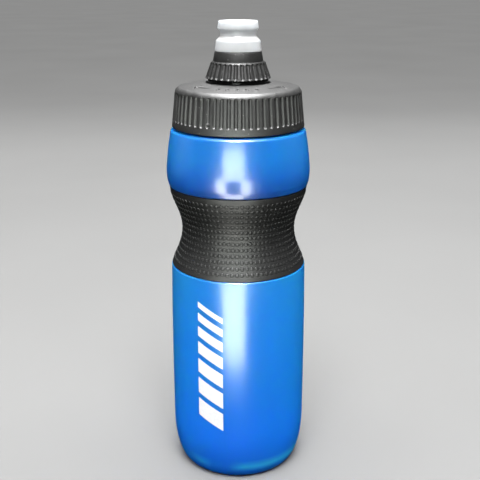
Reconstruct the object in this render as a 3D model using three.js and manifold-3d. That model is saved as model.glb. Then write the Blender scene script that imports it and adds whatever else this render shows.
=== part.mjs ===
// Sports squeeze bottle: soft bottle with a rubber waist grip, fluted screw lid and twist-open spout.
// Millimetres, +Z up, origin at the centre of the foot ring's resting plane.
import * as THREE from 'three';
import { mergeVertices } from 'three/addons/utils/BufferGeometryUtils.js';
import Module from 'manifold-3d';

const wasm = await Module();
wasm.setup();

// ---- bottle body ----
const FOOT_IN = 26, FOOT_OUT = 29.5;      // flat resting ring
const PUSH_UP = 3;                        // dome of the underside
const BODY_R = 36.75;                     // lower body
const FOOT_RISE = 25.5;                   // height of the rounding above the foot
const WALL = 1.3;
const BODY_TOP_R = 36.05, BODY_TOP = 116.25;  // lower edge of the grip recess
const BAND_LOW_R = 36.5, BAND_LOW = 159.9;   // upper edge of the grip recess
const BAND_R = 37.6, BAND_MID = 167.5;    // widest place of the upper band
const SHOULDER_R = 35.0, SHOULDER = 188;
const NECK_R = 29.3, NECK_IN = 27.3, NECK_BASE = 189.8, NECK_TOP = 206.5;

// ---- grip sleeve ----
const GRIP_LOW = 116.55, GRIP_TOP = 159.6, GRIP_WAIST = 136, GRIP_WAIST_R = 29.9;
const GRIP_THICK = 1.5, GRIP_GAP = 0.25;

// ---- screw lid ----
const LID_LOW = 190.3, RIM_TOP = 193.7, FLUTE_TOP = 207.2;
const SKIRT_R = 34.28, SKIRT_SLOPE = 0.105;
const DOME_TOP = 213.3, DOME_R = 157, DOME_THICK = 2, LID_EDGE_R = 3.2;
const LID_BORE = 31, LID_SEAT = 208.5, LID_HOLE = 9.9, LID_FLAT = 212.3;
const LID_FLUTES = 60, LID_FLUTE_R = 1.02, LID_FLUTE_DEPTH = 0.86, LID_FLUTE_TURN = -1.8;
const THREAD_PITCH = 4.8, THREAD_BEAD = 1.25;

// ---- valve base ----
const PEDESTAL_R = 15.4, PEDESTAL_LOW = 212.75, PEDESTAL_TOP = 214.35;
const TOWER_R = 9.3, TOWER_IN = 8, TOWER_TOP = 223.6, TOWER_LOW = 208;
const POST_R = 3, PLUG_R = 3.2, PLUG_TOP = 231.2;
const CAM_LEAD = 10, CAM_BEAD = 0.8, CAM_STARTS = 3;

// ---- twist collar ----
const COLLAR_LOW = 214.65, COLLAR_LOW_R = 16.7, COLLAR_EDGE = 222.2, COLLAR_EDGE_R = 13.95;
const BAND_FOOT = 223, BAND_FOOT_R = 12.75, COLLAR_TOP = 227.65, COLLAR_TOP_R = 11.95;
const COLLAR_FLUTES = 30, COLLAR_FLUTE_R = 1.02, COLLAR_FLUTE_DEPTH = 0.84, COLLAR_FLUTE_TURN = -4.4;
const NIPPLE_R = 8.5, NIPPLE_IN = 7.2, NIPPLE_TOP = 234.6;

// ---- spout ----
const SPOUT_LOW = 227.95, SPOUT_TOP = 242.85, SPOUT_BORE = 3.5;

const BODY_FACETS = 36, LID_FACETS = 60, COLLAR_FACETS = 30, SMALL_FACETS = 36;

const deg = Math.PI / 180;
const v2 = (r, z) => new THREE.Vector2(r, z);

// Points of an arc about (r, z) from angle a to angle b in degrees, measured from +r towards +z.
function arc(r, z, radius, a, b, steps, radiusZ = radius) {
  const out = [];
  for (let i = 0; i <= steps; i++) {
    const t = (a + (b - a) * i / steps) * deg;
    out.push(v2(r + radius * Math.cos(t), z + radiusZ * Math.sin(t)));
  }
  return out;
}

// A turned solid about +Z from a profile that starts and ends on the axis or closes on itself.
function turned(points, facets, turn = 0) {
  const g = new THREE.LatheGeometry(points, facets);
  g.rotateX(Math.PI / 2);
  g.rotateZ(turn * deg);
  return g;
}

const ring = (points, facets, turn) => turned([...points, points[0].clone()], facets, turn);

function toManifold(geometry) {
  const g = geometry.index ? geometry.clone() : geometry;
  g.deleteAttribute('normal');
  g.deleteAttribute('uv');
  const merged = mergeVertices(g, 1e-4);
  const make = (index) => new wasm.Manifold(new wasm.Mesh({
    numProp: 3,
    vertProperties: new Float32Array(merged.attributes.position.array),
    triVerts: index,
  }));
  const index = Uint32Array.from(merged.index.array);
  const solid = make(index);
  if (solid.volume() > 0) return solid;
  for (let i = 0; i < index.length; i += 3) [index[i], index[i + 1]] = [index[i + 1], index[i]];
  return make(index);
}

function toGeometry(solid) {
  const mesh = solid.getMesh();
  const g = new THREE.BufferGeometry();
  const pos = new Float32Array(mesh.numVert * 3);
  for (let i = 0; i < mesh.numVert; i++) {
    for (let k = 0; k < 3; k++) pos[3 * i + k] = mesh.vertProperties[i * mesh.numProp + k];
  }
  g.setAttribute('position', new THREE.BufferAttribute(pos, 3));
  g.setIndex(new THREE.BufferAttribute(new Uint32Array(mesh.triVerts), 1));
  g.computeVertexNormals();
  return g;
}

// A right-hand helix about +Z; turns and start are in full turns.
class Helix extends THREE.Curve {
  constructor(radius, z, lead, start, turns) {
    super();
    Object.assign(this, { radius, z, lead, start, turns });
  }
  getPoint(t) {
    const a = 2 * Math.PI * (this.start + this.turns * t);
    return new THREE.Vector3(this.radius * Math.cos(a), this.radius * Math.sin(a),
      this.z + this.lead * this.turns * t);
  }
}

// A rounded thread ridge swept along a helix.
function ridge(radius, z, lead, start, turns, bead, steps) {
  const shape = new THREE.Shape(arc(0, 0, bead, 0, 300, 5));
  return toManifold(new THREE.ExtrudeGeometry(shape, {
    steps, bevelEnabled: false, extrudePath: new Helix(radius, z, lead, start, turns),
  }));
}

// Cuts rounded flutes into a conical skirt. The cutter is a round bar with ball ends, whose centres
// are at low and top, leaning with the skirt; skirt(z) gives the skirt's radius.
function flute(solid, { count, radius, depth, turn, low, top, skirt }) {
  const lean = Math.atan2(skirt(low) - skirt(top), top - low);
  const length = (top - low) / Math.cos(lean);
  const bar = turned([...arc(0, 0, radius, -90, 0, 2), ...arc(0, length, radius, 0, 90, 2)], 8);
  bar.rotateY(-lean);
  bar.translate(skirt(low) + (radius - depth) / Math.cos(lean), 0, low);
  let out = solid;
  for (let i = 0; i < count; i++) {
    const cutter = bar.clone().rotateZ((turn - 90 + 360 * i / count) * deg);
    out = out.subtract(toManifold(cutter));
  }
  return out;
}

// ---- profiles ----

// Outer face of the grip, from its lower to its upper edge.
const gripFace = [
  ...new THREE.CubicBezierCurve(v2(35.8, GRIP_LOW), v2(34.6, 120.8), v2(GRIP_WAIST_R, 127.5),
    v2(GRIP_WAIST_R, GRIP_WAIST)).getPoints(5),
  ...new THREE.CubicBezierCurve(v2(GRIP_WAIST_R, GRIP_WAIST), v2(GRIP_WAIST_R, 146),
    v2(35.3, 151), v2(36.3, GRIP_TOP)).getPoints(6).slice(1),
];

// The grip's face moved inward, held between two heights.
const inward = (by, low, high) => gripFace.map((p) => v2(p.x - by, Math.min(Math.max(p.y, low), high)));

function bottleBody() {
  const recess = GRIP_THICK + GRIP_GAP;
  const rise = arc(FOOT_OUT, FOOT_RISE, BODY_R - FOOT_OUT, -90, 0, 6, FOOT_RISE);
  const band = arc(BAND_R - 35, BAND_MID, 35, -10, 6, 3);
  const outer = [
    v2(0, PUSH_UP), v2(14, PUSH_UP * 0.71), v2(FOOT_IN, 0), ...rise, v2(BODY_R, 62), v2(36.5, 90),
    v2(BODY_TOP_R + 0.2, BODY_TOP - 4), v2(BODY_TOP_R, BODY_TOP - 0.6), v2(BODY_TOP_R - 0.5, BODY_TOP),
    ...inward(recess, BODY_TOP, BAND_LOW),
    v2(BAND_LOW_R - 0.7, BAND_LOW), v2(BAND_LOW_R, BAND_LOW + 0.6), ...band, v2(36.4, 180),
    v2(SHOULDER_R, SHOULDER), v2(34.5, 189.2), v2(33.5, 189.6), v2(NECK_R + 0.6, NECK_BASE),
    v2(NECK_R, NECK_BASE + 0.8), v2(NECK_R, NECK_TOP - 0.4), v2(NECK_R - 0.4, NECK_TOP),
  ];
  const inner = [
    v2(NECK_IN + 0.4, NECK_TOP), v2(NECK_IN, NECK_TOP - 0.4), v2(NECK_IN, 188.8), v2(NECK_IN + 1, 187.9),
    v2(32.6, 187.5), v2(33.6, 186.6), v2(36.4 - WALL, 179), v2(BAND_R - WALL, BAND_MID),
    v2(BAND_LOW_R - WALL, 161.7),
    ...inward(recess + WALL, 113, 162).filter((p, i) => i % 2 === 0).reverse(),
    v2(36.5 - WALL, 88), v2(BODY_R - WALL, 60),
    ...arc(FOOT_OUT - 0.3, FOOT_RISE, BODY_R - WALL - FOOT_OUT + 0.3, 0, -90, 4, FOOT_RISE - 1.6),
    v2(FOOT_IN - 1, 1.7), v2(14, PUSH_UP * 0.71 + 1.5), v2(0, PUSH_UP + 1.5),
  ];
  const shell = toManifold(turned([...outer, ...inner], BODY_FACETS));
  return shell.add(ridge(NECK_R, 193.8, THREAD_PITCH, 0, 1.6, THREAD_BEAD, 40));
}

function gripSleeve() {
  const inner = inward(GRIP_THICK, GRIP_LOW, GRIP_TOP).reverse();
  return toManifold(ring([...gripFace, ...inner], BODY_FACETS));
}

const skirtR = (z) => SKIRT_R - SKIRT_SLOPE * (z - LID_LOW);
const domeZ = (r) => DOME_TOP - r * r / (2 * DOME_R);

function lidShell() {
  // centre of the rounding that is tangent to both the skirt and the dome
  let edgeR = 29, edgeZ = 207;
  for (let i = 0; i < 6; i++) {
    edgeR = skirtR(edgeZ) - LID_EDGE_R * Math.hypot(1, SKIRT_SLOPE);
    edgeZ = domeZ(edgeR) - LID_EDGE_R * Math.hypot(1, edgeR / DOME_R);
  }
  const lean = Math.atan(SKIRT_SLOPE) / deg;
  const domeLean = Math.atan(edgeR / DOME_R) / deg;
  const dome = [15.2, 22].map((r) => v2(r, domeZ(r)));
  const under = [25, 20].map((r) => v2(r, domeZ(r) - DOME_THICK));
  const cover = toManifold(turned([
    v2(0, LID_FLAT), v2(14.9, LID_FLAT), ...dome,
    ...arc(edgeR, edgeZ, LID_EDGE_R, 90 - domeLean, lean, 4),
    v2(skirtR(LID_LOW + 0.5), LID_LOW + 0.5), v2(SKIRT_R - 0.5, LID_LOW), v2(0, LID_LOW),
  ], LID_FACETS, LID_FLUTE_TURN));
  const cavity = toManifold(turned([
    v2(0, LID_LOW - 1), v2(32.7, LID_LOW - 1), v2(32.1, LID_LOW + 0.4), v2(32.1, 192.4),
    v2(LID_BORE, 193.6), v2(LID_BORE, LID_SEAT), v2(26.4, LID_SEAT), ...under,
    v2(16, domeZ(16) - DOME_THICK), v2(14.5, 209.9), v2(LID_HOLE, 209.9), v2(LID_HOLE, 214), v2(0, 214),
  ], SMALL_FACETS));
  const groove = toManifold(ring([
    v2(10.8, LID_FLAT - 0.8), v2(13.2, LID_FLAT - 0.8), v2(13.2, 214), v2(10.8, 214),
  ], SMALL_FACETS));
  let solid = cover.subtract(cavity).subtract(groove);
  solid = flute(solid, {
    count: LID_FLUTES, radius: LID_FLUTE_R, depth: LID_FLUTE_DEPTH, turn: LID_FLUTE_TURN,
    low: RIM_TOP + LID_FLUTE_R, top: FLUTE_TOP, skirt: skirtR,
  });
  return solid.add(ridge(LID_BORE, 193.8 + THREAD_PITCH / 2, THREAD_PITCH, 0, 1.5, THREAD_BEAD, 38));
}

// A flat seal ring with rounded edges.
const flatRing = (inner, outer, low, high) => toManifold(ring([
  v2(inner, low + 0.3), v2(inner + 0.3, low), v2(outer - 0.3, low), v2(outer, low + 0.3),
  v2(outer, high - 0.3), v2(outer - 0.3, high), v2(inner + 0.3, high), v2(inner, high - 0.3),
], SMALL_FACETS));

function valveBase() {
  let solid = toManifold(ring([
    v2(TOWER_IN, TOWER_LOW), v2(9.4, TOWER_LOW), v2(10.6, 208.9), v2(10.6, 209.6), v2(9.6, 209.6),
    v2(9.6, PEDESTAL_LOW), v2(PEDESTAL_R - 0.2, PEDESTAL_LOW), v2(PEDESTAL_R, PEDESTAL_LOW + 0.2),
    v2(PEDESTAL_R, PEDESTAL_TOP - 0.3), v2(PEDESTAL_R - 0.3, PEDESTAL_TOP),
    v2(TOWER_R, PEDESTAL_TOP), v2(TOWER_R, TOWER_TOP - 0.5), v2(TOWER_R - 0.5, TOWER_TOP),
    v2(TOWER_IN, TOWER_TOP),
  ], SMALL_FACETS));
  for (let i = 0; i < CAM_STARTS; i++) {
    solid = solid.add(ridge(TOWER_R + 0.1, 217.2, CAM_LEAD, i / CAM_STARTS, 1 / 6, CAM_BEAD, 8));
  }
  solid = solid.add(toManifold(turned([
    v2(0, 209), v2(POST_R - 0.4, 209), v2(POST_R, 209.4), v2(POST_R, 226), v2(PLUG_R, 227),
    v2(PLUG_R, PLUG_TOP - 0.8), v2(PLUG_R - 0.8, PLUG_TOP), v2(0, PLUG_TOP),
  ], 24)));
  for (let i = 0; i < 3; i++) {
    const spoke = new THREE.BoxGeometry(6.4, 1.4, 5);
    spoke.translate(5.4, 0, 212);
    spoke.rotateZ((90 + 120 * i) * deg);
    solid = solid.add(toManifold(spoke));
  }
  return solid;
}

const collarR = (z) => COLLAR_LOW_R
  + (COLLAR_EDGE_R - COLLAR_LOW_R) * (z - COLLAR_LOW) / (COLLAR_EDGE - COLLAR_LOW);

function twistCollar() {
  let solid = toManifold(ring([
    v2(COLLAR_LOW_R - 0.3, COLLAR_LOW), v2(collarR(COLLAR_LOW + 0.3), COLLAR_LOW + 0.3),
    v2(COLLAR_EDGE_R, COLLAR_EDGE), v2(COLLAR_EDGE_R - 0.5, COLLAR_EDGE + 0.6),
    v2(BAND_FOOT_R + 0.1, BAND_FOOT), v2(BAND_FOOT_R - 0.05, BAND_FOOT + 0.2),
    v2(COLLAR_TOP_R, COLLAR_TOP - 0.2), v2(COLLAR_TOP_R - 0.2, COLLAR_TOP),
    v2(NIPPLE_R, COLLAR_TOP), v2(NIPPLE_R, 232.6), v2(NIPPLE_R + 0.5, 233.2), v2(NIPPLE_R - 0.2, NIPPLE_TOP),
    v2(NIPPLE_IN, NIPPLE_TOP), v2(NIPPLE_IN, 231), v2(3.7, 231), v2(3.5, 230.8), v2(3.5, 229.8),
    v2(7.2, 229.8), v2(7.6, 229.4), v2(7.6, 225), v2(9.8, 224.4), v2(9.8, 222.35), v2(10.85, 222.35),
    v2(10.85, 220.45), v2(9.8, 220.45), v2(9.8, 219.9), v2(10.6, 219.9), v2(10.6, COLLAR_LOW),
    v2(12, COLLAR_LOW), v2(12, 219.6), v2(collarR(219.6) - 1.7, 219.6), v2(COLLAR_LOW_R - 1.7, COLLAR_LOW),
  ], COLLAR_FACETS, COLLAR_FLUTE_TURN));
  for (let i = 0; i < CAM_STARTS; i++) {
    const z = 217.2 - CAM_LEAD / CAM_STARTS / 2;
    solid = solid.add(ridge(TOWER_R + 1.2, z, CAM_LEAD, i / CAM_STARTS, 1 / 6, CAM_BEAD, 8));
  }
  return flute(solid, {
    count: COLLAR_FLUTES, radius: COLLAR_FLUTE_R, depth: COLLAR_FLUTE_DEPTH, turn: COLLAR_FLUTE_TURN,
    low: COLLAR_LOW + 1.15, top: COLLAR_EDGE - 0.6, skirt: collarR,
  });
}

function spout() {
  return toManifold(ring([
    v2(11.5, SPOUT_LOW), v2(11.8, SPOUT_LOW + 0.3), v2(11.27, 232.6), ...arc(10.55, 232.8, 0.7, 5, 45, 2),
    v2(9.35, 235.15), v2(9.0, 235.9), v2(8.98, 236.7), v2(9.2, 237.5), ...arc(9.55, 239.25, 0.75, -40, 5, 2),
    v2(10.1, 240.7), ...arc(8.5, SPOUT_TOP - 1.5, 1.5, 10, 90, 3),
    v2(6, SPOUT_TOP - 0.3), ...arc(SPOUT_BORE + 0.9, SPOUT_TOP - 1.3, 0.9, 90, 180, 2),
    v2(SPOUT_BORE, 238.6), v2(6.6, 237.2), v2(6.9, 235), v2(8.7, 234.9), v2(9.35, 233.2), v2(8.8, 232.4),
    v2(8.8, SPOUT_LOW),
  ], SMALL_FACETS));
}

// ---- assembly ----
const part = new THREE.Group();
part.name = 'sports_squeeze_bottle';

function add(name, solid, color, roughness) {
  const material = new THREE.MeshStandardMaterial({ color, roughness, metalness: 0 });
  material.name = name;
  const mesh = new THREE.Mesh(toGeometry(solid), material);
  mesh.name = name;
  part.add(mesh);
}

add('bottle_body', bottleBody(), 0x2372dc, 0.28);
add('grip_sleeve', gripSleeve(), 0x2c2d2e, 0.62);
add('lid_shell', lidShell(), 0x303130, 0.5);
add('lid_gasket', flatRing(26.9, 30.6, 206.8, 208.3), 0xd9dcdf, 0.6);
add('valve_base', valveBase(), 0x141414, 0.2);
add('valve_gasket', flatRing(11, 13, 211.7, 212.65), 0x26272a, 0.6);
add('collar_o_ring', toManifold(ring(arc(10.05, 221.4, 0.65, 0, 315, 7), SMALL_FACETS)), 0x1b1b1d, 0.5);
add('twist_collar', twistCollar(), 0x2b2c2b, 0.5);
add('spout', spout(), 0xe9eff4, 0.4);

export default part;
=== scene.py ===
import math

import bmesh
import bpy
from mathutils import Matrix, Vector


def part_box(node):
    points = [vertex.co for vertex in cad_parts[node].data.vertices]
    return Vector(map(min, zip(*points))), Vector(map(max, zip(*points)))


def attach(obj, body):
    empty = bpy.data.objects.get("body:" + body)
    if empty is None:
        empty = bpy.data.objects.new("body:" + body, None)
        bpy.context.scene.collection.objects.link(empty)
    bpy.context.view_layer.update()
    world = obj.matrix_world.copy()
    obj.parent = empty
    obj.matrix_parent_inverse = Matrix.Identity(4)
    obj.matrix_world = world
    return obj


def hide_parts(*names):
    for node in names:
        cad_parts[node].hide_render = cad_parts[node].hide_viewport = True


# Sports squeeze bottle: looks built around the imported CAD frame. +Z is up and the front faces -Y.
# Drawing numbers are millimetres, and MM turns them into Blender's metres. Lights and camera are in metres.
MM = 0.001
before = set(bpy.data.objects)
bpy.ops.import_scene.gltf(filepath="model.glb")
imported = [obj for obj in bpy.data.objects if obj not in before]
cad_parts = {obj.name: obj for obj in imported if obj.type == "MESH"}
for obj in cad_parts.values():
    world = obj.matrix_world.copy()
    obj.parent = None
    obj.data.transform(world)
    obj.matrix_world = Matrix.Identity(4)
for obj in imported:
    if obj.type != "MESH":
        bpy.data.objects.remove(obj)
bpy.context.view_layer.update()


# ---------------------------------------------------------------- driving dimensions

def reach(node):
    """A CAD node's outer radius, lowest level and highest level at rest, in millimetres."""
    low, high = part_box(node)
    return [round(v / MM, 4) for v in (high.x, low.z, high.z)]


# Bottle: lower body, foot, shoulder band and neck.
BODY_R, WALL = 36.75, 1.3
FOOT_BEND, FOOT_RISE = 7.25, 25.5
BODY_SIDE = [(BODY_R, FOOT_RISE), (BODY_R, 62), (36.55, 90), (36.2, 112)]
BAND_R, BAND_Z, BAND_BEND = 37.6, 167.5, 35
NECK_R, NECK_IN = 29.3, 27.3
NECK_TOP = reach("bottle_body")[2]
THREAD_LOW, THREAD_PITCH, THREAD_BEAD = 193.8, 4.8, 1.25

# Rubber sleeve: its two rims, its waist, and the dots on it.
GRIP_TOP_R, GRIP_LOW, GRIP_TOP = reach("grip_sleeve")
GRIP_LOW_R, WAIST_R, WAIST_Z = 35.8, 29.9, 136
GRIP_THICK, GRIP_GAP = 1.5, 0.25
DOT_COLUMNS, DOT_ROWS, DOT_PITCH, DOT_TURN = 84, 13, 3.14, -1.0
DOT_RINGS = ((1.08, 0.0), (0.98, -0.22), (0.87, 0.15), (0.74, 0.22))    # radius and height of each ring
DOT_TIP = 0.24
CELL_SIDE = 4                                                           # divisions along a cell's side

# Screw lid: skirt, flutes, dome, and the bore that the neck stands in.
LID_LOW = reach("lid_shell")[1]
SKIRT_R, SKIRT_SLOPE = 34.28, 0.105
RIM_TOP, FLUTE_TOP = 193.7, 207.2
LID_FLUTES, LID_FLUTE_R, LID_FLUTE_DEPTH, LID_FLUTE_TURN = 60, 1.02, 0.86, -1.8
DOME_TOP, DOME_R, DOME_THICK, DOME_EDGE_R = 213.3, 157, 2, 3.2
LID_BORE, LID_SEAT = 31, 208.5
LID_HOLE, LID_FLAT = 9.9, 212.3

# Marks engraved on the dome, at angles from the front in degrees, and the pip in one flute.
MARK_R, MARK_DEPTH, MARK_SOFT = 24, 0.5, 0.25
ARROWS = ((-62, -33, -62), (38, 68, 68))                                # start, end and head of each arc
ARROW_HALF, HEAD_HALF, HEAD_LONG, HEAD_SPREAD = 0.62, 0.55, 3.2, 0.75
TICKS, TICK_HALF, TICK_REACH = (-24, -12.5, -1, 10.5, 22), 0.85, 1.3
MARKS_LOW, MARKS_WIDE = 210.5, 8                                        # where marks can lie on the dome
PIP_TURN, PIP_AT_R, PIP_Z, PIP_R, PIP_LIFT = -25.8, 33.5, 195.4, 0.95, 0.62

# Valve base: pedestal, tower with its cam ridges, and sealing post.
PEDESTAL_R, TOWER_LOW, PLUG_TOP = reach("valve_base")
PEDESTAL_LOW, PEDESTAL_TOP = 212.75, 214.35
TOWER_R, TOWER_IN, TOWER_TOP, SNAP_R = 9.3, 8, 223.6, 10.6
POST_R, PLUG_R = 3, 3.2
CAM_LOW, CAM_LEAD, CAM_STARTS, CAM_TURNS, CAM_BEAD = 217.2, 10, 3, 1 / 6, 0.8

# Twist collar: fluted skirt, plain band and inner nipple.
COLLAR_LOW, NIPPLE_TOP = reach("twist_collar")[1:]
COLLAR_LOW_R, COLLAR_EDGE_R, COLLAR_EDGE = 16.7, 13.95, 222.2
COLLAR_BORE, COLLAR_TOP = 10.6, 227.65
COLLAR_FLUTES, COLLAR_FLUTE_R, COLLAR_FLUTE_DEPTH, COLLAR_FLUTE_TURN = 30, 1.02, 0.84, -4.4
NIPPLE_R, NIPPLE_IN = 8.5, 7.2
O_RING_R, O_RING_LOW, O_RING_HIGH = reach("collar_o_ring")

# Spout.
SPOUT_R, SPOUT_LOW, SPOUT_TOP = reach("spout")
SPOUT_BORE = 3.5

# Vertices round each turned piece: the lid has 16 to a flute and the collar 18.
BOTTLE_COLUMNS, LID_COLUMNS, COLLAR_COLUMNS = 180, 16 * LID_FLUTES, 18 * COLLAR_FLUTES
TOWER_COLUMNS, POST_COLUMNS, SPOUT_COLUMNS, SEAL_COLUMNS = 144, 72, 144, 120


# ---------------------------------------------------------------- lines of (r, z) points

def rounded(corners, closed=True, step=15):
    """A line of (r, z) points from corners (r, z) or (r, z, radius), each given radius rounded off."""
    out = []
    n = len(corners)
    for i, c in enumerate(corners):
        p = Vector(c[:2])
        radius = c[2] if len(c) > 2 else 0
        if not radius or (not closed and i in (0, n - 1)):
            out.append((p.x, p.y))
            continue
        u = Vector(corners[i - 1][:2]) - p
        v = Vector(corners[(i + 1) % n][:2]) - p
        longest_cut = 0.49 * min(u.length, v.length)
        u.normalize()
        v.normalize()
        half = math.acos(max(-1, min(1, u.dot(v)))) / 2
        if half > math.radians(88):
            out.append((p.x, p.y))
            continue
        cut = min(radius / math.tan(half), longest_cut)
        centre = p + (u + v).normalized() * cut / math.cos(half)
        a = p + u * cut - centre
        b = p + v * cut - centre
        start = math.atan2(a.y, a.x)
        turn = (math.atan2(b.y, b.x) - start + math.pi) % (2 * math.pi) - math.pi
        count = max(2, math.ceil(abs(turn) / math.radians(step)))
        for k in range(count + 1):
            t = start + turn * k / count
            out.append((centre.x + a.length * math.cos(t), centre.y + a.length * math.sin(t)))
    return out


def arc(r, z, radius, a, b, steps, radius_z=None):
    """An arc about (r, z) from a to b degrees, from +r towards +z; radius_z makes it an ellipse."""
    radius_z = radius if radius_z is None else radius_z
    angles = [math.radians(a + (b - a) * i / steps) for i in range(steps + 1)]
    return [(r + radius * math.cos(t), z + radius_z * math.sin(t)) for t in angles]


def bezier(p0, p1, p2, p3, steps):
    out = []
    for i in range(steps + 1):
        t = i / steps
        weights = ((1 - t) ** 3, 3 * (1 - t) ** 2 * t, 3 * (1 - t) * t * t, t ** 3)
        out.append(tuple(sum(w * p[k] for w, p in zip(weights, (p0, p1, p2, p3))) for k in (0, 1)))
    return out


def spread(points, most):
    """The same line with no step longer than most."""
    out = [points[0]]
    for a, b in zip(points, points[1:]):
        count = max(1, math.ceil(math.dist(a, b) / most))
        out += [(a[0] + (b[0] - a[0]) * k / count, a[1] + (b[1] - a[1]) * k / count)
                for k in range(1, count + 1)]
    return out


# ---------------------------------------------------------------- meshes

def vertex(bm, r, angle, z):
    """A vertex at radius r and level z, at an angle from the front that grows to the right."""
    return bm.verts.new((r * math.sin(angle) * MM, -r * math.cos(angle) * MM, z * MM))


def stitch(bm, a, b):
    """Faces between two rings of the same length."""
    for i in range(len(a)):
        j = (i + 1) % len(a)
        bm.faces.new((a[i], a[j], b[j], b[i]))


def lathe(bm, line, columns, closed=True, shift=None):
    """Turns a line of (r, z) points about +Z. shift(angle, r, z) may move a point."""
    rings = []
    for r, z in line:
        if r < 1e-6:
            rings.append([bm.verts.new((0, 0, z * MM))])
            continue
        ring = []
        for i in range(columns):
            angle = 2 * math.pi * i / columns
            at_r, at_z = shift(angle, r, z) if shift else (r, z)
            ring.append(vertex(bm, at_r, angle, at_z))
        rings.append(ring)
    following = rings[1:] + rings[:1] if closed else rings[1:]
    for a, b in zip(rings, following):
        if len(a) == len(b) == 1:
            continue
        for i in range(columns):
            j = (i + 1) % columns
            if len(a) == 1:
                bm.faces.new((a[0], b[i], b[j]))
            elif len(b) == 1:
                bm.faces.new((a[i], b[0], a[j]))
            else:
                bm.faces.new((a[i], b[i], b[j], a[j]))


def ridge(bm, radius, z, lead, start, turns, bead, steps, sides=10):
    """A round thread ridge centred on a helix about +Z, its ends sinking into the wall."""
    rings = []
    for i in range(steps + 1):
        t = i / steps
        a = 2 * math.pi * (start + turns * t)
        fade = min(1, 8 * t, 8 * (1 - t))
        size = bead * (0.35 + 0.65 * math.sin(fade * math.pi / 2))
        ring = []
        for k in range(sides):
            q = 2 * math.pi * k / sides
            r = radius + size * math.cos(q)
            h = z + lead * turns * t + size * math.sin(q)
            ring.append(bm.verts.new((r * math.cos(a) * MM, r * math.sin(a) * MM, h * MM)))
        rings.append(ring)
    for a, b in zip(rings, rings[1:]):
        stitch(bm, a, b)
    bm.faces.new(rings[0])
    bm.faces.new(rings[-1])


def make(name, bm, material, body, replaces=None, flat_angle=35, weighted=True):
    """The finished piece, riding on body; edges sharper than flat_angle degrees stay crisp."""
    bmesh.ops.recalc_face_normals(bm, faces=bm.faces)
    mesh = bpy.data.meshes.new(name)
    bm.to_mesh(mesh)
    bm.free()
    mesh.shade_smooth()
    mesh.set_sharp_from_angle(angle=math.radians(flat_angle))
    mesh.materials.append(material)
    piece = bpy.data.objects.new(name, mesh)
    bpy.context.scene.collection.objects.link(piece)
    if weighted:
        piece.modifiers.new("normals", "WEIGHTED_NORMAL").keep_sharp = True
    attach(piece, body)
    if replaces:
        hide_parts(replaces)
    return piece


# ---------------------------------------------------------------- materials

class Nodes:
    """A principled material with short helpers for its procedural parts."""

    def __init__(self, name):
        self.mat = bpy.data.materials.new(name)
        self.mat.use_nodes = True
        self.tree = self.mat.node_tree
        self.shader = self.tree.nodes["Principled BSDF"]
        self.where = self.tree.nodes.new("ShaderNodeTexCoord").outputs["Object"]

    def put(self, **values):
        """Sets sockets that are the same all over; an underscore stands for a space in a socket's name."""
        for key, value in values.items():
            self.shader.inputs[key.replace("_", " ")].default_value = value

    def link(self, a, b):
        self.tree.links.new(a, b)

    def colour(self, output):
        self.link(output, self.shader.inputs["Base Color"])

    def roughness(self, noise, low, high):
        self.link(self.range(noise, low, high), self.shader.inputs["Roughness"])

    def noise(self, scale, detail=2.0, rough=0.5):
        n = self.tree.nodes.new("ShaderNodeTexNoise")
        n.inputs["Scale"].default_value = scale
        n.inputs["Detail"].default_value = detail
        n.inputs["Roughness"].default_value = rough
        self.link(self.where, n.inputs["Vector"])
        return n.outputs["Fac"]

    def ramp(self, fac, stops):
        """A colour ramp. Stops are (place, colour), and the first two are the lowest and the highest."""
        r = self.tree.nodes.new("ShaderNodeValToRGB")
        for i, (at, colour) in enumerate(stops):
            e = r.color_ramp.elements[i] if i < 2 else r.color_ramp.elements.new(at)
            e.position = at
            e.color = (*colour, 1)
        self.link(fac, r.inputs["Fac"])
        return r.outputs["Color"]

    def range(self, fac, low, high, from_low=0.3, from_high=0.7):
        m = self.tree.nodes.new("ShaderNodeMapRange")
        m.inputs["From Min"].default_value = from_low
        m.inputs["From Max"].default_value = from_high
        m.inputs["To Min"].default_value = low
        m.inputs["To Max"].default_value = high
        self.link(fac, m.inputs["Value"])
        return m.outputs["Result"]

    def height(self):
        s = self.tree.nodes.new("ShaderNodeSeparateXYZ")
        self.link(self.where, s.inputs["Vector"])
        return s.outputs["Z"]

    def math(self, operation, a, b):
        m = self.tree.nodes.new("ShaderNodeMath")
        m.operation = operation
        self.link(a, m.inputs[0])
        self.link(b, m.inputs[1])
        return m.outputs["Value"]

    def mix(self, fac, a, b):
        """Colour a where fac is 0 and the plain colour b where it is 1."""
        m = self.tree.nodes.new("ShaderNodeMix")
        m.data_type = "RGBA"
        self.link(fac, m.inputs["Factor"])
        self.link(a, m.inputs["A"])
        m.inputs["B"].default_value = (*b, 1)
        return m.outputs["Result"]

    def specks(self, scale, size):
        """1 on tiny scattered spots, else 0."""
        v = self.tree.nodes.new("ShaderNodeTexVoronoi")
        v.inputs["Scale"].default_value = scale
        self.link(self.where, v.inputs["Vector"])
        near = self.range(v.outputs["Distance"], 1.0, 0.0, size * 0.6, size)
        pick = self.tree.nodes.new("ShaderNodeSeparateColor")
        self.link(v.outputs["Color"], pick.inputs["Color"])
        rare = self.range(pick.outputs["Red"], 0.0, 1.0, 0.90, 0.93)
        return self.math("MULTIPLY", near, rare)

    def bump(self, height, strength, distance):
        """Relief from a height, where distance is the depth in metres that a full step stands for."""
        b = self.tree.nodes.new("ShaderNodeBump")
        b.inputs["Strength"].default_value = strength
        b.inputs["Distance"].default_value = distance
        self.link(height, b.inputs["Height"])
        self.link(b.outputs["Normal"], self.shader.inputs["Normal"])


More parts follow.
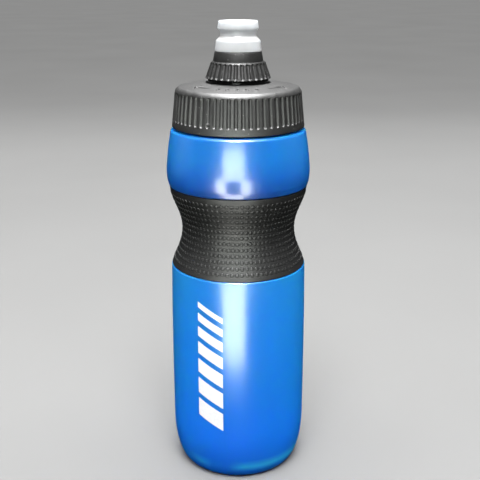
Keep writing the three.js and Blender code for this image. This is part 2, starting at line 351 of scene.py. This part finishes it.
def painted_shade_blue(n):
    """The blue by height, with painted light and shade standing in for light reaching it through the wall:
    paler up the body, darker towards the foot, darkest low in the band.
    """
    place = n.math("ADD", n.range(n.height(), 0, 1, 0, 0.2), n.range(n.noise(18, 3), -0.015, 0.015))
    return n.ramp(place, [
        (0.0, (0.003, 0.200, 0.80)), (1.0, (0.006, 0.195, 0.55)), (0.125, (0.003, 0.220, 0.79)),
        (0.275, (0.006, 0.255, 0.73)), (0.575, (0.012, 0.280, 0.68)), (0.79, (0.004, 0.115, 0.48)),
        (0.84, (0.004, 0.140, 0.50)), (0.89, (0.006, 0.195, 0.55))])


def painted_foot_glow(n):
    """1 in patches round the foot, else 0: a painted glow standing in for light that gathers in the thick
    plastic.
    """
    level = n.range(n.height(), 0, 1, 0, 0.02)
    belt = n.ramp(level, [(0.2, (0, 0, 0)), (0.62, (0, 0, 0)), (0.4, (1, 1, 1))])
    return n.math("MULTIPLY", belt, n.range(n.noise(26, 1), 0.1, 1, 0.44, 0.56))


def blue_body():
    n = Nodes("blue_polyethylene")
    # Base colour: the blue with painted light and shade by height, mixed towards a painted cyan glow in
    # patches round the foot.
    blue = painted_shade_blue(n)
    n.colour(n.mix(painted_foot_glow(n), blue, (0.03, 0.60, 1.0)))
    n.roughness(n.noise(60, 4), 0.285, 0.34)
    n.put(IOR=1.5, Subsurface_Weight=0.6, Subsurface_Radius=(0.3, 0.8, 2.0), Subsurface_Scale=0.0015,
          Transmission_Weight=0.45, Specular_IOR_Level=0.12, Coat_Weight=0.35, Coat_Roughness=0.2)
    n.bump(n.noise(90, 2), 0.05, 0.0004)
    return n.mat


def black_plastic(name, rough, specular):
    """Moulded black plastic with a fine grain and a few dust specks."""
    n = Nodes(name)
    black = n.ramp(n.noise(70, 3), [(0.35, (0.006, 0.006, 0.0058)), (0.65, (0.009, 0.009, 0.0087))])
    n.colour(n.mix(n.specks(800, 0.2), black, (0.16, 0.16, 0.155)))
    n.roughness(n.noise(400, 3), rough - 0.05, rough + 0.06)
    n.put(IOR=1.49, Specular_IOR_Level=specular)
    n.bump(n.noise(1500, 3, 0.6), 0.9, 0.00012)
    return n.mat


def black_rubber():
    n = Nodes("black_rubber")
    black = n.ramp(n.noise(40, 4), [(0.3, (0.010, 0.0101, 0.0102)), (0.7, (0.013, 0.0131, 0.0132))])
    n.colour(n.mix(n.specks(600, 0.10), black, (0.22, 0.22, 0.21)))
    n.roughness(n.noise(300, 3), 0.42, 0.50)
    n.put(IOR=1.5, Specular_IOR_Level=0.17)
    n.bump(n.noise(3000, 2), 0.25, 0.00004)
    return n.mat


def glossy_black():
    n = Nodes("glossy_black_plastic")
    n.colour(n.ramp(n.noise(50), [(0.3, (0.006, 0.006, 0.006)), (0.7, (0.011, 0.011, 0.011))]))
    n.roughness(n.noise(250, 3), 0.10, 0.18)
    n.put(IOR=1.5, Specular_IOR_Level=0.2)
    n.bump(n.noise(200, 2), 0.04, 0.0002)
    return n.mat


def white_silicone():
    n = Nodes("white_silicone")
    n.colour(n.ramp(n.noise(120, 3), [(0.3, (0.46, 0.472, 0.48)), (0.7, (0.49, 0.50, 0.507))]))
    n.roughness(n.noise(500, 3), 0.32, 0.42)
    n.put(IOR=1.43, Subsurface_Weight=1.0, Subsurface_Radius=(1.0, 1.05, 1.1), Subsurface_Scale=0.006,
          Transmission_Weight=0.25)
    n.bump(n.noise(1500, 2), 0.06, 0.00004)
    return n.mat


def soft_seal(name, colour, rough):
    n = Nodes(name)
    n.colour(n.ramp(n.noise(150, 3), [(0.3, tuple(c * 0.9 for c in colour)), (0.7, colour)]))
    n.roughness(n.noise(600, 3), rough - 0.05, rough + 0.05)
    n.bump(n.noise(1800, 2), 0.1, 0.00003)
    return n.mat


def white_ink():
    n = Nodes("white_ink")
    n.colour(n.ramp(n.noise(900, 4), [(0.35, (0.70, 0.71, 0.72)), (0.6, (0.74, 0.75, 0.76))]))
    n.roughness(n.noise(300, 3), 0.36, 0.46)
    n.bump(n.noise(1600, 3), 0.15, 0.00003)
    return n.mat


def pale_floor():
    n = Nodes("pale_floor")
    n.colour(n.ramp(n.noise(3, 3), [(0.3, (0.155, 0.155, 0.153)), (0.7, (0.165, 0.165, 0.163))]))
    n.put(Roughness=0.9, Specular_IOR_Level=0.0)
    return n.mat


# ---------------------------------------------------------------- bottle body

def grip_face(steps):
    """The sleeve's outer face, from its lower rim through the waist to its upper rim."""
    low, waist, top = (GRIP_LOW_R, GRIP_LOW), (WAIST_R, WAIST_Z), (GRIP_TOP_R, GRIP_TOP)
    return (bezier(low, (GRIP_LOW_R - 1.2, GRIP_LOW + 4.25), (WAIST_R, WAIST_Z - 8.5), waist, steps)
            + bezier(waist, (WAIST_R, WAIST_Z + 10), (GRIP_TOP_R - 1, GRIP_TOP - 8.6), top, steps)[1:])


def waist_line(depth, low, high, steps):
    """The sleeve's face moved in by depth and held between two levels."""
    return [(r - depth, min(max(z, low), high)) for r, z in grip_face(steps)]


def bottle_outside():
    """From the middle of the base, up the outside, to the neck's rim."""
    low, high = GRIP_LOW - 0.3, GRIP_TOP + 0.3
    side_top = BODY_SIDE[-1]
    line = [(0, 3), (6, 2.85), (12, 2.35), (18, 1.5), (23, 0.55), (25.6, 0.04), (26.4, 0)]
    line += arc(BODY_R - FOOT_BEND, FOOT_RISE, FOOT_BEND, -90, 0, 22, FOOT_RISE)
    line += spread(BODY_SIDE, 6)[1:]
    line += rounded([side_top, (36.02, low, 0.7), (34.4, low)], closed=False)[1:]
    line += waist_line(GRIP_THICK + GRIP_GAP, low, high, 14)
    line += rounded([(35.2, high), (36.55, high, 0.8), (36.9, high + 2)], closed=False)[:-1]
    line += arc(BAND_R - BAND_BEND, BAND_Z, BAND_BEND, -12, 6, 9)[2:]
    line += rounded([
        (37.0, 175), (36.35, 180.5, 20), (35.05, 188.4, 1.6), (33.2, 189.6, 1.5), (29.9, 189.9, 0.6),
        (NECK_R, 191.4, 0.5), (NECK_R, NECK_TOP, 0.5), (28.4, NECK_TOP)], closed=False)
    return line


def bottle_inside():
    """From the neck's rim, down the inside, to the middle of the base."""
    bore = BODY_R - WALL
    line = rounded([
        (28.2, NECK_TOP), (NECK_IN, NECK_TOP, 0.5), (NECK_IN, 188.2, 0.8), (33.4, 187.7, 1.5),
        (35.1, 179, 12), (36.3, 168, 12), (35.2, 161.7, 3)], closed=False)
    line += waist_line(GRIP_THICK + GRIP_GAP + WALL, 113, 162, 10)[::-1]
    line += [(bore - 0.25, 88), (bore, 60)]
    line += arc(bore - 6.25, FOOT_RISE, 6.25, 0, -90, 12, FOOT_RISE - 1.6)
    line += [(25, 1.7), (12, 3.8), (0, 4.5)]
    return line


def bottle():
    bm = bmesh.new()
    lathe(bm, bottle_outside() + bottle_inside(), BOTTLE_COLUMNS, closed=False)
    ridge(bm, NECK_R, THREAD_LOW, THREAD_PITCH, 0, 1.6, THREAD_BEAD, 140)
    make("bottle_shell", bm, blue_body(), "bottle", "bottle_body")


# ---------------------------------------------------------------- printed mark

def foot_r(z):
    """The foot's radius at a level below FOOT_RISE."""
    fall = (FOOT_RISE - z) / FOOT_RISE
    return BODY_R - FOOT_BEND + FOOT_BEND * math.sqrt(max(0, 1 - fall ** 2))


def body_r(z):
    """The lower body's radius at a level."""
    line = [(foot_r(level), level) for level in range(math.ceil(FOOT_RISE))] + BODY_SIDE
    for (r0, z0), (r1, z1) in zip(line, line[1:]):
        if z0 <= z <= z1:
            return r0 + (r1 - r0) * (z - z0) / max(1e-9, z1 - z0)
    return line[-1][0]


def ink_grid(bm, lift, bottom, top, left, right, slope, columns, rows):
    """Rows of vertices on the wall, lift above it."""
    grid = []
    for j in range(rows + 1):
        row = []
        for i in range(columns + 1):
            s = left + (right - left) * i / columns
            z = bottom + (top - bottom) * j / rows - slope * (s - left)
            row.append(vertex(bm, body_r(z) + lift, s / BODY_R, z))
        grid.append(row)
    return grid


def ink_patch(bm, bottom, top, left, right, slope):
    """A slanted printed bar on the wall. left and right are arc lengths from the front; the bar falls by
    slope per millimetre to the right. It is a thin closed layer just proud of the wall."""
    columns, rows = 24, 8
    low, high = [ink_grid(bm, lift, bottom, top, left, right, slope, columns, rows)
                 for lift in (0.02, 0.08)]
    for j in range(rows):
        for i in range(columns):
            bm.faces.new((low[j][i], low[j + 1][i], low[j + 1][i + 1], low[j][i + 1]))
            bm.faces.new((high[j][i], high[j][i + 1], high[j + 1][i + 1], high[j + 1][i]))
    rim = ([(0, i) for i in range(columns)] + [(j, columns) for j in range(rows)]
           + [(rows, i) for i in range(columns, 0, -1)] + [(j, 0) for j in range(rows, 0, -1)])
    for (j, i), (m, k) in zip(rim, rim[1:] + rim[:1]):
        bm.faces.new((low[j][i], low[m][k], high[m][k], high[j][i]))


def printed_mark():
    """Seven slanted bars down the front, each thicker than the one above."""
    bm = bmesh.new()
    top, left, right, slope, gap = 104, -22.5, -8.2, 0.5, 3.2
    for i in range(7):
        thick = 3 + 1.2 * i
        ink_patch(bm, top - thick, top, left, right, slope)
        top -= thick + gap
    make("printed_bars", bm, white_ink(), "bottle", weighted=False)


# ---------------------------------------------------------------- grip sleeve

class Sleeve:
    """The sleeve's mesh. Its face is a grid of cells, each with a raised round dot."""

    def __init__(self):
        self.bm = bmesh.new()
        self.face = grip_face(60)
        self.length = [0]
        for a, b in zip(self.face, self.face[1:]):
            self.length.append(self.length[-1] + math.dist(a, b))
        self.low = (self.length[-1] - DOT_PITCH * DOT_ROWS) / 2 - 0.1
        self.high = self.low + DOT_PITCH * DOT_ROWS
        self.around = DOT_COLUMNS * CELL_SIDE
        self.corners = {}

    def at(self, s):
        """Radius, level and outward normal at length s along the face from its lower rim."""
        last = len(self.face) - 2
        i = next((k for k in range(last) if s <= self.length[k + 1]), last)
        t = (s - self.length[i]) / (self.length[i + 1] - self.length[i])
        (r0, z0), (r1, z1) = self.face[i], self.face[i + 1]
        n = math.hypot(r1 - r0, z1 - z0)
        return r0 + (r1 - r0) * t, z0 + (z1 - z0) * t, (z1 - z0) / n, -(r1 - r0) / n

    def angle(self, column):
        return 2 * math.pi * column / DOT_COLUMNS + math.radians(DOT_TURN)

    def point(self, column, s, lift=0.0):
        r, z, out_r, out_z = self.at(s)
        return vertex(self.bm, r + lift * out_r, self.angle(column), z + lift * out_z)

    def corner(self, i, j):
        """The grid's vertex i divisions round and j up, made once."""
        key = (i % self.around, j)
        if key not in self.corners:
            self.corners[key] = self.point(i / CELL_SIDE - 0.5, self.low + DOT_PITCH * j / CELL_SIDE)
        return self.corners[key]

    def cell_rim(self, column, row):
        """The vertices round a cell."""
        i, j = column * CELL_SIDE, row * CELL_SIDE
        side = range(CELL_SIDE)
        return ([self.corner(i + k, j) for k in side]
                + [self.corner(i + CELL_SIDE, j + k) for k in side]
                + [self.corner(i + CELL_SIDE - k, j + CELL_SIDE) for k in side]
                + [self.corner(i, j + CELL_SIDE - k) for k in side])

    def dot(self, column, row):
        """One cell with its dot: a shallow moat, a steep side and a rounded top."""
        s = self.low + DOT_PITCH * (row + 0.5)
        column_wide = 2 * math.pi * self.at(s)[0] / DOT_COLUMNS
        last = self.cell_rim(column, row)
        for radius, lift in DOT_RINGS:
            ring = []
            for k in range(4 * CELL_SIDE):
                q = 2 * math.pi * k / (4 * CELL_SIDE) - 3 * math.pi / 4
                across = radius * math.cos(q) / column_wide
                ring.append(self.point(column + across, s + radius * math.sin(q), lift))
            stitch(self.bm, last, ring)
            last = ring
        tip = self.point(column, s, DOT_TIP)
        for a, b in zip(last, last[1:] + last[:1]):
            self.bm.faces.new((a, b, tip))

    def back(self):
        """The (r, z) line from the last row of cells over the upper rim, down the back and round the
        lower rim to the first row."""
        line = [self.at(self.high + (self.length[-1] - self.high) * t)[:2] for t in (0.35, 0.7)]
        line += self.rim(self.face[-1], self.face[-3], self.face[-6])
        line += [(r - GRIP_THICK, z) for r, z in grip_face(7)[1:-1][::-1]]
        line += self.rim(self.face[0], self.face[3], self.face[5])[::-1]
        line += [self.at(self.low * t)[:2] for t in (0.5, 0.85)]
        return line

    def rim(self, edge, face_point, back_point):
        """The rounded rim at an end of the face, from the face to the back."""
        bend = 0.3
        r, z = edge
        return rounded([face_point, (r, z, bend), (r - GRIP_THICK, z, bend),
                        (back_point[0] - GRIP_THICK, back_point[1])], closed=False)[1:-1]

    def close(self):
        """Joins the top of the cells to their bottom by way of the sleeve's back."""
        columns = range(self.around)
        chain = [[self.corner(i, DOT_ROWS * CELL_SIDE) for i in columns]]
        for r, z in self.back():
            chain.append([vertex(self.bm, r, self.angle(i / CELL_SIDE - 0.5), z) for i in columns])
        chain.append([self.corner(i, 0) for i in columns])
        for a, b in zip(chain, chain[1:]):
            stitch(self.bm, a, b)


def grip():
    sleeve = Sleeve()
    for row in range(DOT_ROWS):
        for column in range(DOT_COLUMNS):
            sleeve.dot(column, row)
    sleeve.close()
    make("grip_cover", sleeve.bm, black_rubber(), "bottle", "grip_sleeve", flat_angle=40, weighted=False)


# ---------------------------------------------------------------- screw lid

def skirt_r(z):
    return SKIRT_R - SKIRT_SLOPE * (z - LID_LOW)


def dome_z(r):
    return DOME_TOP - r * r / (2 * DOME_R)


def fluted(count, radius, depth, turn, low, top, skirt, soft=0.12):
    """A shift that presses count ball-ended flutes into a skirt, with softened edges."""
    pitch = 2 * math.pi / count

    def shift(a, r, z):
        if r < 0.75 * skirt(top):
            return r, z
        d = (a - math.radians(turn) + pitch / 2) % pitch - pitch / 2
        s = r * d
        over = max(0.0, z - top, low - z)
        room = radius * radius - s * s - over * over
        if room <= 0:
            return r, z
        floor = skirt(z) + radius - depth - math.sqrt(room)
        gap = r - floor
        if gap <= -soft:
            return r, z
        if gap < soft:
            return r - (gap + soft) ** 2 / (4 * soft), z
        return floor, z

    return shift


def turned_degrees(angle, turn=0):
    """Degrees from turn, in degrees, to an angle in radians, between -180 and 180."""
    return math.degrees((angle - math.radians(turn) + math.pi) % (2 * math.pi) - math.pi)


def groove(off, half):
    """Depth of a groove of half width half, at a distance off its middle."""
    return MARK_DEPTH * max(0.0, min(1.0, (half - abs(off)) / MARK_SOFT))


def mark_depth(a, r):
    """Depth of the engraved direction arcs and ticks on the dome at angle a and radius r."""
    deg = turned_degrees(a)
    off = r - MARK_R
    best = 0.0
    for low, high, head in ARROWS:
        if low <= deg <= high:
            best = max(best, groove(off, ARROW_HALF))
        back = (deg - head) * (1 if head < 0 else -1)
        along = math.radians(back) * MARK_R
        if 0 <= along <= HEAD_LONG:
            best = max(best, groove(abs(off) - along * HEAD_SPREAD, HEAD_HALF))
    for tick in TICKS:
        if abs(off) < TICK_REACH:
            best = max(best, groove(math.radians(deg - tick) * MARK_R, TICK_HALF))
    return best


def with_pip(a, r, z):
    """Radius of the lid's side with the moulded pip that sits in one flute."""
    off = math.hypot(math.radians(turned_degrees(a, PIP_TURN)) * PIP_AT_R, z - PIP_Z)
    if z > RIM_TOP and off < PIP_R and r > 30:
        return min(skirt_r(z) - 0.05, r + PIP_LIFT * math.sqrt(1 - (off / PIP_R) ** 2))
    return r


def lid_top():
    """From the centre hole over the gasket's groove and the dome, with close rows where it is engraved."""
    line = [(LID_HOLE + 0.01, LID_FLAT), (10.8, LID_FLAT), (10.8, LID_FLAT - 0.8), (13.2, LID_FLAT - 0.8),
            (13.2, LID_FLAT), (14.9, LID_FLAT)]
    radii = [15.2, 17, 19, 21] + [r / 10 for r in range(214, 268, 2)] + [27.6, 28.4]
    return line + [(r, dome_z(r)) for r in radii]


def lid_side():
    """The rounded edge of the dome and the skirt down to the rim, with close rows at the flutes' ends."""
    edge_r, edge_z = 29.0, 207.0
    for _ in range(8):
        edge_r = skirt_r(edge_z) - DOME_EDGE_R * math.hypot(1, SKIRT_SLOPE)
        edge_z = dome_z(edge_r) - DOME_EDGE_R * math.hypot(1, edge_r / DOME_R)
    dome_angle = 90 - math.degrees(math.atan(edge_r / DOME_R))
    line = arc(edge_r, edge_z, DOME_EDGE_R, dome_angle, 6, 22)
    z = edge_z - 0.3
    while z > RIM_TOP - 0.5:
        line.append((skirt_r(z), z))
        if z < RIM_TOP + 1.3:
            z -= 0.15
        elif z > FLUTE_TOP - 0.8 or z < RIM_TOP + 3.5:
            z -= 0.4
        else:
            z -= 1.6
    return line


def lid_inside():
    """From the plain rim round the lower edge and up the bore, then in under the dome to the hole."""
    return rounded([
        (skirt_r(192), 192), (skirt_r(LID_LOW), LID_LOW, 0.45), (32.5, LID_LOW, 0.4), (32.1, 192.4, 0.4),
        (LID_BORE, 193.6, 0.4), (LID_BORE, LID_SEAT, 0.4), (26.4, LID_SEAT, 0.3), (25.8, LID_SEAT + 0.7),
        (20, dome_z(20) - DOME_THICK), (16, dome_z(16) - DOME_THICK), (14.5, LID_FLAT - 2.4, 0.3),
        (LID_HOLE, LID_FLAT - 2.4, 0.2), (LID_HOLE, LID_FLAT - 0.3)], closed=False, step=30)


def lid():
    flute = fluted(LID_FLUTES, LID_FLUTE_R, LID_FLUTE_DEPTH, LID_FLUTE_TURN,
                   RIM_TOP + LID_FLUTE_R, FLUTE_TOP, skirt_r)

    def shift(a, r, z):
        r, z = flute(a, r, z)
        if z > MARKS_LOW and abs(r - MARK_R) < MARKS_WIDE / 2:
            z -= mark_depth(a, r)
        return with_pip(a, r, z), z

    bm = bmesh.new()
    lathe(bm, lid_top() + lid_side() + lid_inside(), LID_COLUMNS, shift=shift)
    ridge(bm, LID_BORE, THREAD_LOW + THREAD_PITCH / 2, THREAD_PITCH, 0, 1.5, THREAD_BEAD, 130)
    material = black_plastic("textured_black_plastic", 0.52, 0.34)
    make("lid_cover", bm, material, "lid", "lid_shell", flat_angle=50, weighted=False)


# ---------------------------------------------------------------- valve base

def cam_ridges(bm, radius, z):
    for k in range(CAM_STARTS):
        ridge(bm, radius, z, CAM_LEAD, k / CAM_STARTS, CAM_TURNS, CAM_BEAD, 24)


def spoke(bm, degrees):
    """A bar from the post to the tower's wall."""
    long, wide, tall, middle_r, middle_z = 6.4, 1.4, 5, 5.4, TOWER_LOW + 4
    turn = math.radians(degrees)
    for v in bmesh.ops.create_cube(bm, size=1)["verts"]:
        x, y, z = v.co.x * long + middle_r, v.co.y * wide, v.co.z * tall + middle_z
        v.co = (MM * (x * math.cos(turn) - y * math.sin(turn)),
                MM * (x * math.sin(turn) + y * math.cos(turn)), MM * z)


def valve_base():
    neck_r = 9.6
    tower = rounded([
        (TOWER_IN, TOWER_LOW), (9.4, TOWER_LOW, 0.2), (SNAP_R, TOWER_LOW + 0.9, 0.2),
        (SNAP_R, TOWER_LOW + 1.6, 0.1), (neck_r, TOWER_LOW + 1.6), (neck_r, PEDESTAL_LOW, 0.1),
        (PEDESTAL_R, PEDESTAL_LOW, 0.15), (PEDESTAL_R, PEDESTAL_TOP, 0.35), (TOWER_R, PEDESTAL_TOP, 0.3),
        (TOWER_R, TOWER_TOP, 0.5), (TOWER_IN, TOWER_TOP, 0.3)])
    post = rounded([
        (0, TOWER_LOW + 1), (POST_R, TOWER_LOW + 1, 0.4), (POST_R, PLUG_TOP - 5.2, 1),
        (PLUG_R, PLUG_TOP - 4.2, 1), (PLUG_R, PLUG_TOP, 0.9), (0, PLUG_TOP)], closed=False)
    bm = bmesh.new()
    lathe(bm, tower, TOWER_COLUMNS)
    lathe(bm, post, POST_COLUMNS, closed=False)
    cam_ridges(bm, TOWER_R + 0.1, CAM_LOW)
    for k in range(3):
        spoke(bm, 90 + 120 * k)
    make("valve_pedestal", bm, glossy_black(), "lid", "valve_base", flat_angle=40)


# ---------------------------------------------------------------- twist collar

def collar_r(z):
    slope = (COLLAR_EDGE_R - COLLAR_LOW_R) / (COLLAR_EDGE - COLLAR_LOW)
    return COLLAR_LOW_R + slope * (z - COLLAR_LOW)


def collar_outside():
    """Up the fluted skirt, with close rows at the flutes' ends, and in to the foot of the plain band."""
    line = rounded([(15, COLLAR_LOW), (COLLAR_LOW_R, COLLAR_LOW, 0.25), (collar_r(215), 215)], closed=False)
    for low, step, count in ((215.12, 0.12, 9), (216.6, 0.9, 5), (220.6, 0.2, 7)):
        levels = [low + step * i for i in range(count)]
        line += [(collar_r(z), z) for z in levels]
    edge = rounded([
        (collar_r(222), 222), (COLLAR_EDGE_R, 222.25, 0.35), (13.1, 222.95, 0.5), (12.72, 223.05, 0.15),
        (12.6, 224)], closed=False)
    return line + spread(edge, 0.3)


def collar_inside():
    """Up the plain band, over the nipple, and down inside past the O-ring's groove to the skirt's foot."""
    groove_low, groove_high = O_RING_LOW - 0.3, O_RING_HIGH + 0.3
    neck_r, groove_r, skirt_top = 9.8, O_RING_R + 0.15, 219.6
    return rounded([
        (12.5, 224.6), (11.93, COLLAR_TOP, 0.3), (NIPPLE_R, COLLAR_TOP, 0.2),
        (NIPPLE_R, NIPPLE_TOP - 2, 0.3), (9, NIPPLE_TOP - 1.4, 0.2), (8.3, NIPPLE_TOP, 0.2),
        (NIPPLE_IN, NIPPLE_TOP, 0.2), (NIPPLE_IN, 231, 0.3), (3.6, 231, 0.2), (3.5, 229.8, 0.1),
        (NIPPLE_IN, 229.8, 0.2), (7.6, 229.2, 0.2), (7.6, 225, 0.3), (neck_r, 224.4, 0.3),
        (neck_r, groove_high, 0.1), (groove_r, groove_high, 0.1), (groove_r, groove_low, 0.1),
        (neck_r, groove_low, 0.1), (neck_r, 219.9, 0.1), (COLLAR_BORE, 219.9, 0.2),
        (COLLAR_BORE, COLLAR_LOW, 0.2), (12, COLLAR_LOW, 0.2), (12, skirt_top, 0.3),
        (collar_r(skirt_top) - 1.7, skirt_top, 0.3), (15, COLLAR_LOW + 0.05)], closed=False, step=30)


def collar():
    flute = fluted(COLLAR_FLUTES, COLLAR_FLUTE_R, COLLAR_FLUTE_DEPTH, COLLAR_FLUTE_TURN,
                   COLLAR_LOW + 1.15, COLLAR_EDGE - 0.6, collar_r, 0.10)
    bm = bmesh.new()
    lathe(bm, collar_outside() + collar_inside(), COLLAR_COLUMNS, shift=flute)
    cam_ridges(bm, COLLAR_BORE - 0.1, CAM_LOW - CAM_LEAD / 6)
    material = black_plastic("collar_black_plastic", 0.50, 0.17)
    make("collar_grip", bm, material, "collar", "twist_collar", flat_angle=50, weighted=False)


# ---------------------------------------------------------------- spout

def spout():
    """The bite spout. Its profile, in heights above its foot, goes up the outside and down the inside."""
    profile = ((8.8, 0, 0.2), (SPOUT_R, 0, 0.3), (11.22, 5.15, 0.9), (9.2, 7.35, 0.7), (8.98, 8.65, 0.7),
               (9.15, 9.55, 0.6), (10.3, 11.05, 0.5), (10.25, 12.15, 0.8), (10.0, 13.65, 0.8),
               (9.75, SPOUT_TOP - SPOUT_LOW, 1.5), (6.6, 14.55, 1.5), (4.4, 14.7, 0.5),
               (SPOUT_BORE, 14.05, 0.6), (SPOUT_BORE, 10.65, 0.5), (6.6, 9.25, 0.6), (6.9, 7.05, 0.3),
               (8.7, 6.95, 0.3), (9.35, 5.25, 0.3), (8.8, 4.45, 0.3))
    line = rounded([(r, SPOUT_LOW + h, bend) for r, h, bend in profile], step=10)
    bm = bmesh.new()
    lathe(bm, spread(line + line[:1], 1.2)[:-1], SPOUT_COLUMNS)
    make("bite_spout", bm, white_silicone(), "collar", "spout", flat_angle=60)


# ---------------------------------------------------------------- seals

def flat_seal(name, inner, node, material, body):
    """A flat ring that fills its CAD node's box down to the inner radius."""
    outer, low, high = reach(node)
    bm = bmesh.new()
    corners = [(inner, low, 0.3), (outer, low, 0.3), (outer, high, 0.3), (inner, high, 0.3)]
    lathe(bm, rounded(corners), SEAL_COLUMNS)
    make(name, bm, material, body, node)


def o_ring():
    tube = (O_RING_HIGH - O_RING_LOW) / 2
    bm = bmesh.new()
    lathe(bm, arc(O_RING_R - tube, O_RING_LOW + tube, tube, 0, 345, 23), SEAL_COLUMNS)
    material = soft_seal("o_ring_rubber", (0.015, 0.015, 0.016), 0.4)
    make("collar_seal_ring", bm, material, "collar_seal", "collar_o_ring")


def seals():
    pale = soft_seal("pale_silicone", (0.70, 0.72, 0.74), 0.5)
    black = soft_seal("black_seal_rubber", (0.02, 0.02, 0.021), 0.5)
    flat_seal("lid_seal_ring", 26.9, "lid_gasket", pale, "lid_seal")
    flat_seal("pedestal_seal_ring", 11, "valve_gasket", black, "lid")
    o_ring()


# ---------------------------------------------------------------- floor, light and camera

def floor():
    half = 40
    corners = [(-half, -half, 0), (half, -half, 0), (half, half, 0), (-half, half, 0)]
    mesh = bpy.data.meshes.new("floor")
    mesh.from_pydata(corners, [], [(0, 1, 2, 3)])
    mesh.materials.append(pale_floor())
    ob = bpy.data.objects.new("floor", mesh)
    ob.visible_glossy = False
    bpy.context.scene.collection.objects.link(ob)


def area_light(name, place, target, size, power, colour=(1, 1, 1), glossy=True, diffuse=True):
    """A rectangular light at place that faces target; glossy and diffuse say what it shows on."""
    data = bpy.data.lights.new(name, "AREA")
    data.shape = "RECTANGLE"
    data.size, data.size_y = size
    data.energy = power
    data.color = colour
    ob = bpy.data.objects.new(name, data)
    ob.location = place
    ob.rotation_euler = (Vector(target) - Vector(place)).to_track_quat("-Z", "Y").to_euler()
    ob.visible_camera = False
    ob.visible_glossy = glossy
    ob.visible_diffuse = diffuse
    bpy.context.scene.collection.objects.link(ob)


def soft_lights():
    """The broad lights round the bottle. Only the key shows in the gloss."""
    area_light("key", (0.0, -0.42, 1.05), (0, 0, 0.15), (0.45, 0.45), 24)
    for name, place, aim, size, power in (
            ("top", (0.0, 0.2, 1.1), 0.15, (0.9, 0.6), 7),
            ("back", (0.0, 1.0, 0.65), 0.15, (1.3, 0.5), 5),
            ("left", (-1.1, 0.2, 0.5), 0.12, (0.7, 0.9), 6),
            ("right", (1.1, 0.2, 0.5), 0.12, (0.7, 0.9), 7)):
        area_light(name, place, (0, 0, aim), size, power, glossy=False)


def gloss_panels():
    """Panels that show in the gloss and not in the diffuse light. The four in front, given by their edges
    in millimetres, make the keyhole-shaped highlight on the band; the one above gives the dome a sheen."""
    front_y, power_per_area = -0.12, 6.9e-5
    for part, left, right, low, high, gain, red in (
            ("upper", -45, 17, 160, 197, 1.1, 0.93),
            ("left", -70, -38, 96, 160, 1.4, 0.95),
            ("right", 10, 36, 96, 160, 1.4, 0.95),
            ("lower", -50, 20, 30, 98, 1.05, 1.0)):
        x, z, wide, tall = (left + right) / 2, (low + high) / 2, right - left, high - low
        area_light("front_" + part, (x * MM, front_y, z * MM), (x * MM, 0, z * MM), (wide * MM, tall * MM),
                   gain * power_per_area * wide * tall, (red, 1, 0.93), diffuse=False)
    area_light("top_gloss", (-0.01, front_y, 0.9), (-0.01, front_y, 0), (0.16, 0.8), 100, diffuse=False)


def overhead_sun():
    """A very soft sun straight down, which lights the floor evenly."""
    data = bpy.data.lights.new("overhead", "SUN")
    data.energy = 4.3
    data.angle = math.radians(60)
    ob = bpy.data.objects.new("overhead", data)
    ob.visible_glossy = False
    bpy.context.scene.collection.objects.link(ob)


def surroundings():
    world = bpy.data.worlds.new("studio")
    world.use_nodes = True
    background = world.node_tree.nodes["Background"]
    background.inputs["Color"].default_value = (0.80, 0.81, 0.82, 1)
    background.inputs["Strength"].default_value = 0.4
    world.cycles_visibility.glossy = False
    bpy.context.scene.world = world


def camera():
    """The photograph's viewpoint: a little above the bottle, looking down at its waist."""
    down, aside = 18.05, -0.13
    data = bpy.data.cameras.new("camera")
    data.lens = 60
    data.sensor_width = 36
    data.clip_start = 0.01
    ob = bpy.data.objects.new("camera", data)
    ob.location = (0, -0.4128, 0.2622)
    ob.rotation_euler = (math.radians(90 - down), 0, math.radians(aside))
    bpy.context.scene.collection.objects.link(ob)
    bpy.context.scene.camera = ob


bottle()
printed_mark()
grip()
lid()
valve_base()
collar()
spout()
seals()

floor()
soft_lights()
gloss_panels()
overhead_sun()
surroundings()
camera()
bpy.context.scene.view_settings.view_transform = "Standard"
